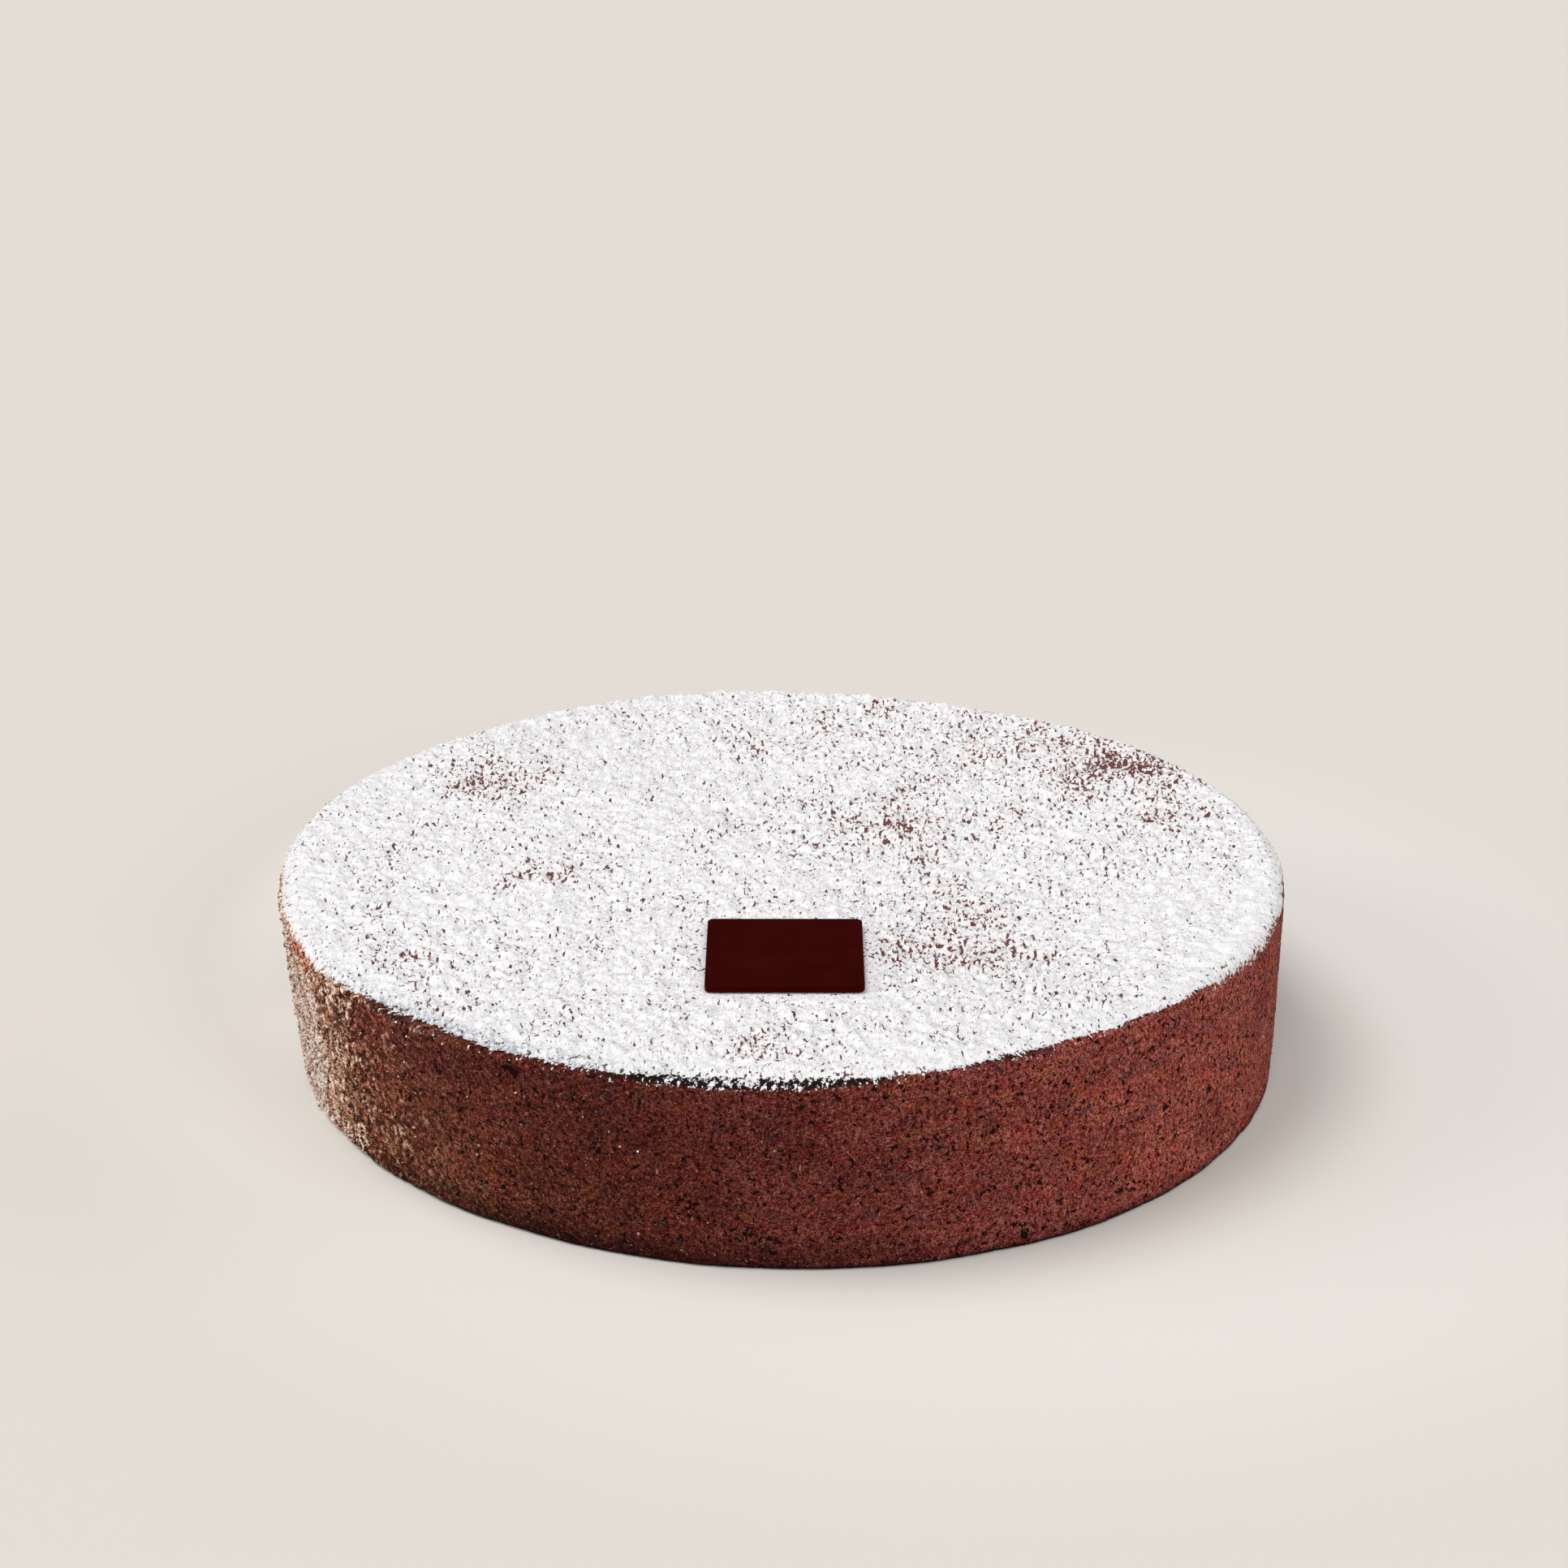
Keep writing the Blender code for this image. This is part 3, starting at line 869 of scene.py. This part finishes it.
def sugar_edge_inset(angle):
    """How far the sugar's ragged edge lies inside the rim."""
    rim = wandering_radius(angle, RIM_RADIUS, RIM_WAVES)
    inset = SUGAR_EDGE_INSET + from_bands(angle, BARE_BANDS)
    ragged = lumps(with_height(around(angle) * rim[:, None], 0.0), EDGE_LUMPS, EDGE_SEED)
    return np.maximum(inset + ragged, LEAST_EDGE_INSET)


def plaque_share(flat):
    """How fully points lie under the plaque: 1 below it, 0 from a few millimetres off."""
    half = np.array(((PLAQUE_HIGH - PLAQUE_LOW) / 2)[:2]) + PLAQUE_MARGIN
    reach = np.maximum(np.abs(flat - np.array(PLAQUE_MIDDLE[:2])) - half, 0.0)
    return 1.0 - smooth_step(np.hypot(reach[:, 0], reach[:, 1]) / PLAQUE_FADE)


def thinness(flat):
    """How thin the sugar lies: 0 where it is even, about 1 where the crumb shows through everywhere."""
    least, more, start, span = THIN_SLOPE
    thin = least + more * smooth_step((flat[:, 0] + flat[:, 1] - start) / span)
    thin += lumps(with_height(flat, 0.0), THIN_LUMPS, THIN_SEED)
    for x, y, reach, strength in THIN_PATCHES:
        away = np.hypot(flat[:, 0] - x * MM, flat[:, 1] - y * MM) / (reach * MM)
        thin += strength * np.exp(-away * away)
    return thin


def round_grid(cells):
    """Points of a square grid drawn out into a disc of radius 1, as radius and angle."""
    steps = np.linspace(-1.0, 1.0, cells + 1)
    u, v = np.meshgrid(steps, steps, indexing="ij")
    wide = np.abs(u) >= np.abs(v)
    radius = np.where(wide, u, v)
    safe = np.where(radius == 0.0, 1.0, radius)
    angle = np.where(wide, (np.pi / 4) * (v / safe), (np.pi / 2) - (np.pi / 4) * (u / safe))
    return radius.ravel(), np.where(radius == 0.0, 0.0, angle).ravel()


def grid_faces(cells):
    """Quads of the grid."""
    side = cells + 1
    index = np.arange(side * side).reshape(side, side)
    corners = [index[:-1, :-1], index[1:, :-1], index[1:, 1:], index[:-1, 1:]]
    return np.stack([c.ravel() for c in corners], axis=1).tolist()


def grid_border(cells):
    """Indices of the grid's outer points, in order round it."""
    side = cells + 1
    index = np.arange(side * side).reshape(side, side)
    border = [index[:-1, 0], index[-1, :-1], index[:0:-1, -1], index[0, :0:-1]]
    return np.concatenate(border)


def sugar_values(angle, flat, inside, full, covered):
    """Amounts that the sugar's material and relief read, by name, given the distance inside its edge."""
    baked = darkness(angle)
    over_pale, over_dark = EDGE_THINNESS
    edge_thinness = over_pale + (over_dark - over_pale) * baked
    middle, half_width, extra, lost = RIM_DRIFT
    in_band = smooth_step(1.0 - np.abs(inside - middle) / half_width)
    drift = extra * in_band * (1.0 - lost * baked)
    settled = CALM_SHARE + (1.0 - CALM_SHARE) * smooth_step(inside / CALM_REACH)
    cover = veil_at_edge(angle) + (1.0 - VEIL_AT_EDGE) * inside / (0.5 * VEIL_REACH)
    return {
        "thin": (thinness(flat) - drift) * full + edge_thinness * (1.0 - full),
        "free": (1.0 - covered) * (EDGE_FREEDOM + (1.0 - EDGE_FREEDOM) * full) * settled,
        "rimward": 1.0 - full,
        "baked": baked,
        "cover": np.minimum(cover, MOST_COVER),
        # The lip's grey, partly painted shade
        "lip": near_direction(angle, *SHADED_LIP) * smooth_step(1.0 - inside / SHADED_LIP_REACH),
        "even": near_direction(angle, *EVEN_RIM) * in_band,
    }


def make_sugar(material):
    """Layer of icing sugar, lumpy and pitted on top, that thins out to nothing at its ragged edge."""
    radius, angle = round_grid(SUGAR_CELLS)
    angle = np.where(radius < 0.0, angle + np.pi, angle)
    rim = wandering_radius(angle, RIM_RADIUS, RIM_WAVES)
    edge_inset = sugar_edge_inset(angle)
    reach = np.abs(radius) * (rim - edge_inset)
    flat = RIM_CENTRE + around(angle) * reach[:, None]
    covered = plaque_share(flat)
    inside = rim - edge_inset - reach
    full = smooth_step(inside / EDGE_TAPER)
    crust = CRUST_TOP - crust_drop(rim - reach)
    height = crust + SUGAR_LEAST + (SUGAR_LEVEL - CRUST_TOP - SUGAR_LEAST) * full
    height = height + lumps(with_height(flat, 0.0), SUGAR_LUMPS, SUGAR_SEED) * (1.0 - covered) * full
    faces = grid_faces(SUGAR_CELLS)
    # The edge is tucked into the crust, and a flat base closes the layer
    border = grid_border(SUGAR_CELLS)
    tucked = np.column_stack([flat[border], crust[border] - SUGAR_TUCK])
    hem = np.arange(len(border)) + len(flat)
    faces += np.column_stack([border, hem, np.roll(hem, -1), np.roll(border, -1)]).tolist()
    faces.append(hem[::-1].tolist())
    points = np.concatenate([with_height(flat, height), tucked])
    values = sugar_values(angle, flat, inside, full, covered)
    stored = [(name, np.concatenate([amounts, amounts[border]])) for name, amounts in values.items()]
    stored.append(("edgewise", drawn_to_rim(points)))
    sugar = piece_from("sugar_layer", points, faces, material, stored)
    move_points(sugar, sugar_offset)
    return sugar


def sugar_pits(nodes, place, thin):
    """Small pits where the crumb shows through: 1 in the middle of one."""
    fine = nodes.noise(nodes.stretched(place, PIT_STRETCH), PIT_SIZE, roughness=0.6, flat=True)
    return nodes.between(nodes.plus(fine, nodes.times(thin, PIT_BY_THINNESS)), *PIT_LEVELS)


def sugar_lumps(nodes, place):
    """Height of the sugar's soft lumps, 0.5 on average."""
    size, share = SOFT_LUMPS
    soft = nodes.times(nodes.noise(place, size, detail=1.0, flat=True), share)
    size, share = SMALL_LUMPS
    apart = nodes.shifted(place, (0.4, 0.2, 0.0))
    return nodes.plus(soft, nodes.times(nodes.noise(apart, size, detail=1.0, flat=True), share))


def sugar_offset(nodes):
    """Height offset of the sugar's points: soft lumps with pits sunk between them."""
    place = nodes.add("GeometryNodeInputPosition").outputs[0]
    lump = nodes.times(nodes.minus(sugar_lumps(nodes, place), 0.5), LUMP_HEIGHT)
    pit = nodes.times(sugar_pits(nodes, place, nodes.named("thin")), -PIT_DEPTH)
    total = nodes.times(nodes.plus(lump, pit), nodes.named("free"))
    return nodes.add("ShaderNodeCombineXYZ", {"Z": total}).outputs[0]


def sugar_white(nodes, place, thin, rimward):
    """The powder's tone: greyer in hollows and at the lip, partly painted shade there, faintly specked,
    warmer where thin.
    """
    close = nodes.stretched(place, (1.0, 0.65, 1.0))
    fine = nodes.noise(close, size=0.75 * MM, detail=3.0, roughness=0.7, flat=True)
    hollow = nodes.plus(nodes.times(sugar_lumps(nodes, place), 0.45), fine)
    # The hollows between the lumps are painted greyer: partly painted shade, partly thinner sugar
    white = nodes.mix(nodes.between(hollow, 0.58, 0.76), *SUGAR_WHITES)
    faint = nodes.noise(nodes.shifted(place, (0.7, 0.3, 0.0)), size=0.95 * MM, flat=True)
    white = nodes.mix(nodes.between(faint, 0.65, 0.72, 0.0, 0.50), white, FAINT_SPECK)
    white = nodes.mix(nodes.times(nodes.attribute("even"), EVEN_SHARE), white, EVEN_WHITE)
    blush = nodes.times(nodes.between(thin, 0.30, 0.95), nodes.minus(1.0, rimward))
    white = nodes.mix(blush, white, BLUSH_WHITE)
    # Painted shade on the lip, deeper in the hollows
    shaded = nodes.times(nodes.attribute("lip"), nodes.between(hollow, 0.84, 0.62, 0.3, 1.5))
    return nodes.tinted(shaded, white, LIP_SHADE_TINT)


def sugar_material():
    """Icing sugar: matt white powder with specks that are redder where it lies thin."""
    material, nodes, shader = new_material("icing_sugar", roughness=0.95, specular=0.1)
    place = nodes.object_place()
    thin = nodes.attribute("thin")
    rimward = nodes.attribute("rimward")
    crust = nodes.mix(nodes.attribute("baked"), *EDGE_CRUSTS)
    speck = nodes.mix(nodes.between(thin, 0.17, 0.45), *SPECKS)
    speck = nodes.mix(rimward, speck, crust)
    pits = nodes.times(sugar_pits(nodes, place, thin), 0.94)
    coloured = nodes.mix(pits, sugar_white(nodes, place, thin, rimward), speck)
    coloured = nodes.mix(scattered_sugar(nodes, "cover"), crust, coloured)
    connect(nodes, coloured, shader, "Base Color")
    bump(nodes, shader, fine_powder(nodes, place), distance=0.55 * MM)
    return material


# Loose grains


def points_of(piece, field="co"):
    """Coordinates or normals of a piece's points."""
    mesh = piece.data
    found = np.empty(3 * len(mesh.vertices), np.float32)
    if field == "co":
        mesh.vertices.foreach_get("co", found)
    else:
        mesh.vertex_normals.foreach_get("vector", found)
    return found.reshape(-1, 3).astype(float)


def stored_values(piece, name):
    """One stored value of all of a piece's points."""
    found = np.empty(len(piece.data.vertices), np.float32)
    piece.data.attributes[name].data.foreach_get("value", found)
    return found.astype(float)


def grain_shape():
    """Points and faces of a round grain with twenty sides."""
    builder = bmesh.new()
    bmesh.ops.create_icosphere(builder, subdivisions=1, radius=1.0)
    points = np.array([v.co for v in builder.verts])
    faces = np.array([[v.index for v in f.verts] for f in builder.faces])
    builder.free()
    return points, faces


def lay_out(grains, shape, count):
    """Gives each grain its own cell of a square layout, seen from one side."""
    across = math.ceil(math.sqrt(count))
    cell = np.stack([np.arange(count) % across, np.arange(count) // across], axis=1)
    layout = (cell[:, None, :] + 0.5 + CELL_SHARE * shape[None, :, :2]) / across
    corner_points = np.empty(len(grains.data.loops), np.int32)
    grains.data.loops.foreach_get("vertex_index", corner_points)
    unwrapped = grains.data.uv_layers.new(name="OFBake")
    unwrapped.data.foreach_set("uv", layout.reshape(-1, 2)[corner_points].astype(np.float32).ravel())


def scatter(name, carrier, likelihood, material, count, sizes, seed, sunk=0.25):
    """Irregular grains on a piece's points, drawn by likelihood; sizes are the least and most radius."""
    draw = np.random.default_rng(seed)
    chosen = draw.choice(len(likelihood), count, replace=False, p=likelihood / likelihood.sum())
    normal = points_of(carrier, "normal")[chosen]
    radius = sizes[0] + (sizes[1] - sizes[0]) * draw.random(count) ** LARGE_GRAIN_RARITY
    centre = points_of(carrier)[chosen] + normal * (radius * (1.0 - 2.0 * sunk))[:, None]
    shape, shape_faces = grain_shape()
    turn = np.linalg.qr(draw.normal(size=(count, 3, 3)))[0]
    stretch = draw.uniform(*GRAIN_STRETCH, size=(count, 1, 3))
    rough = shape[None] * stretch * draw.uniform(*GRAIN_ROUGHNESS, size=(count, len(shape), 1))
    # A turn that also mirrors would leave the faces pointing in
    rough[:, :, 0] *= np.sign(np.linalg.det(turn))[:, None]
    points = (rough @ turn) * radius[:, None, None] + centre[:, None, :]
    faces = shape_faces[None] + (np.arange(count) * len(shape))[:, None, None]
    grains = piece_from(name, points.reshape(-1, 3), faces.reshape(-1, 3).tolist(), material)
    lay_out(grains, shape, count)
    return grains


def grain_material(name, dark, light, size):
    """Matt grains whose tone differs from one to the next."""
    material, nodes, shader = new_material(name, roughness=0.9, specular=0.2)
    tone = nodes.noise(nodes.object_place(), size)
    connect(nodes, nodes.mix(nodes.between(tone, 0.35, 0.65), dark, light), shader, "Base Color")
    return material


def make_dust(cake):
    """Grains of sugar on the cake's dusty left side and on the bare crust round the sugar."""
    height = points_of(cake)[:, 2]
    dust = np.maximum(stored_values(cake, "dust"), CRUST_GRAINS * stored_values(cake, "rim_dust"))
    likely = dust**3 * (height > LEAST_GRAIN_HEIGHT) + LEAST_LIKELIHOOD
    white = grain_material("loose_sugar", *LOOSE_SUGAR, size=1.5 * MM)
    sizes = (0.12 * MM, 0.34 * MM)
    return scatter("sugar_grains", cake, likely, white, count=9500, sizes=sizes, seed=11)


def make_crumbs(cake):
    """Loose brown crumbs that roughen the side, most of them on the left."""
    height = points_of(cake)[:, 2]
    on_side = (height > LEAST_GRAIN_HEIGHT) * (height < CRUST_TOP - CRUMB_MARGIN)
    likely = (FEWEST_CRUMBS + stored_values(cake, "dust") ** 2) * on_side + LEAST_LIKELIHOOD
    brown = grain_material("loose_crumbs", *LOOSE_CRUMBS, size=1.2 * MM)
    sizes = (0.12 * MM, 0.38 * MM)
    return scatter("side_crumbs", cake, likely, brown, count=8000, sizes=sizes, seed=12)


def make_clumps(sugar):
    """Small clumps of sugar standing up from the powdered top."""
    likely = stored_values(sugar, "free") ** 2 + LEAST_LIKELIHOOD
    white = grain_material("sugar_clumps", *LOOSE_CLUMPS, size=2.0 * MM)
    sizes = (0.12 * MM, 0.42 * MM)
    return scatter("sugar_clumps", sugar, likely, white, count=9000, sizes=sizes, seed=13, sunk=0.4)


# Plaque


def plaque_material():
    """Smooth dark chocolate with a faint bloom and a satin surface."""
    material, nodes, shader = new_material("plaque_chocolate", roughness=0.45, specular=0.012)
    place = nodes.object_place()
    bloom = nodes.noise(place, size=9.0 * MM, detail=4.0, roughness=0.65)
    connect(nodes, nodes.mix(nodes.between(bloom, 0.35, 0.7), *PLAQUE_CHOCOLATES), shader, "Base Color")
    bump(nodes, shader, nodes.noise(place, size=3.0 * MM, detail=3.0), distance=0.05 * MM, strength=0.3)
    return material


# Studio


def floor_material():
    """Pale matt floor whose tints even out the light round the cake."""
    material, nodes, shader = new_material("pale_floor", roughness=0.9, specular=0.1)
    place = nodes.object_place()
    plain = nodes.mix(nodes.noise(place, size=120.0 * MM), *FLOOR_COLOURS)
    away = nodes.length(nodes.vector("SUBTRACT", place, MIDDLE_PLACE))
    # Painted light: a paler middle that lightens the shadows round the cake
    coloured = nodes.mix(nodes.between(away, *MIDDLE_FADE), LIT_MIDDLE_COLOUR, plain)
    for (x, y), depth, (inner, outer), tint in FLOOR_TINTS:
        apart = nodes.stretched(nodes.vector("SUBTRACT", place, (x * MM, y * MM, 0.0)), (1.0, depth, 1.0))
        share = nodes.between(nodes.length(apart), inner * MM, outer * MM, 1.0, 0.0)
        coloured = nodes.tinted(share, coloured, tint)
    connect(nodes, coloured, shader, "Base Color")
    return material


def add_floor():
    """Plain pale floor, wide enough to fill the view."""
    signs = ((-1.0, -1.0, 0.0), (1.0, -1.0, 0.0), (1.0, 1.0, 0.0), (-1.0, 1.0, 0.0))
    floor = piece_from("floor", np.array(signs) * FLOOR_REACH, [(0, 1, 2, 3)], floor_material())
    floor.location.z = -FLOOR_DROP


def add_sun(name, direction, strength, width):
    """Even light from a direction, as from a large lamp far away."""
    data = bpy.data.lights.new(name, "SUN")
    data.energy = strength
    data.angle = math.radians(width)
    lamp = bpy.data.objects.new(name, data)
    lamp.rotation_euler = Vector(direction).to_track_quat("Z", "Y").to_euler()
    bpy.context.scene.collection.objects.link(lamp)


def add_light():
    """Soft key from the upper left, low side light, wide fill from the front, and a pale surrounding."""
    for sun in SUNS:
        add_sun(*sun)
    world = bpy.data.worlds.new("studio")
    world.use_nodes = True
    surround = world.node_tree.nodes["Background"]
    surround.inputs["Color"].default_value = (0.92, 1.0, 1.01, 1.0)
    surround.inputs["Strength"].default_value = 0.20
    bpy.context.scene.world = world
    bpy.context.scene.view_settings.view_transform = "Standard"


add_camera()
add_floor()
add_light()

cake = make_cake(crumb_material())
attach(cake, "root")
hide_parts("cake")

sugar = make_sugar(sugar_material())
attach(sugar, "root")
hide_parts("sugar_coat")

for loose in (make_dust(cake), make_clumps(sugar)):
    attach(loose, "root")
crumbs = make_crumbs(cake)
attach(crumbs, "root")

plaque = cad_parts["plaque"]
plaque.data.materials.clear()
plaque.data.materials.append(plaque_material())
